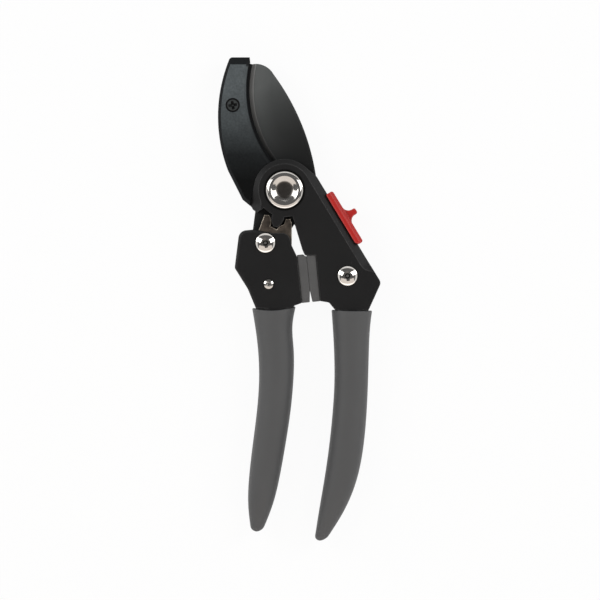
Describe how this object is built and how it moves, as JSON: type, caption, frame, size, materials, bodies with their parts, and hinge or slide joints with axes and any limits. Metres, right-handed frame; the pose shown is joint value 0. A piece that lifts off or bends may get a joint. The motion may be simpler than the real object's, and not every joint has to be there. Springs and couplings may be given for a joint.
{
  "type": "pruning shears",
  "caption": "Geared anvil pruning shears with a curved coated blade, a fixed anvil jaw, soft-grip handles, a toothed linkage at the pivot and a sliding lock.",
  "frame": {"origin": "on the main pivot's axis, on the flat back of the pivot's nut, where the shears lie on a table", "axes": "+Z out of the shears' front face along the pivot, +Y from the handles towards the blade's tip, +X towards the handle that carries the lock"},
  "size_m": [0.0702, 0.2093, 0.0184],
  "materials": {
    "casting": "satin black powder coat on cast aluminium",
    "grip": "soft matte vinyl sleeve",
    "bumper": "matte rubber",
    "jaw": "grainy satin face with near-black bevels",
    "anvil": "matte black hard plastic",
    "dark_screw": "black oxide",
    "bright_screw": "bright plated",
    "nut": "bright plated",
    "washer": "matte low-friction plastic",
    "bushing": "plain sintered bronze",
    "blade": "smooth matte low-friction coating, ground edge",
    "gear": "brown-black sintered steel",
    "spring": "spring steel wire",
    "lock": "red moulded plastic, low gloss",
    "bolt": "stamped steel"
  },
  "bodies": {
    "right_handle": {"right_handle_frame": "casting", "right_grip": "grip", "right_bumper": "bumper", "anvil_jaw": "jaw", "anvil_insert": "anvil", "anvil_screw": "dark_screw", "jaw_screw": "bright_screw", "jaw_barrel_nut": "nut", "pivot_bolt": "bright_screw", "pivot_barrel_nut": "nut", "front_thrust_washer": "washer", "rear_thrust_washer": "washer"},
    "blade": {"blade": "blade", "blade_bushing": "bushing", "arm_bushing": "bushing"},
    "left_handle": {"left_handle_frame": "casting", "left_grip": "grip", "left_bumper": "bumper", "gear_plate": "gear", "gear_plate_pin": "bright_screw", "handle_screw": "bright_screw", "handle_barrel_nut": "nut", "return_spring": "spring"},
    "lock": {"lock_slide": "lock", "lock_bolt": "bolt"}
  },
  "joints": [
    {"name": "blade_pivot", "type": "hinge", "parent": "right_handle", "child": "blade", "pos_m": [0, 0, 0], "axis": [0, 0, 1], "range_deg": [-20, 0]},
    {"name": "handle_pivot", "type": "hinge", "parent": "blade", "child": "left_handle", "pos_m": [-0.00827, -0.02285, 0], "axis": [0, 0, 1], "range_deg": [-26.73, 0]},
    {"name": "lock_slide", "type": "slide", "parent": "right_handle", "child": "lock", "axis": [0.5188, -0.8549, 0], "range_m": [0, 0.006]}
  ],
  "couplings": [
    {"joint": "handle_pivot", "follows": "blade_pivot", "ratio": 1.3365}
  ]
}
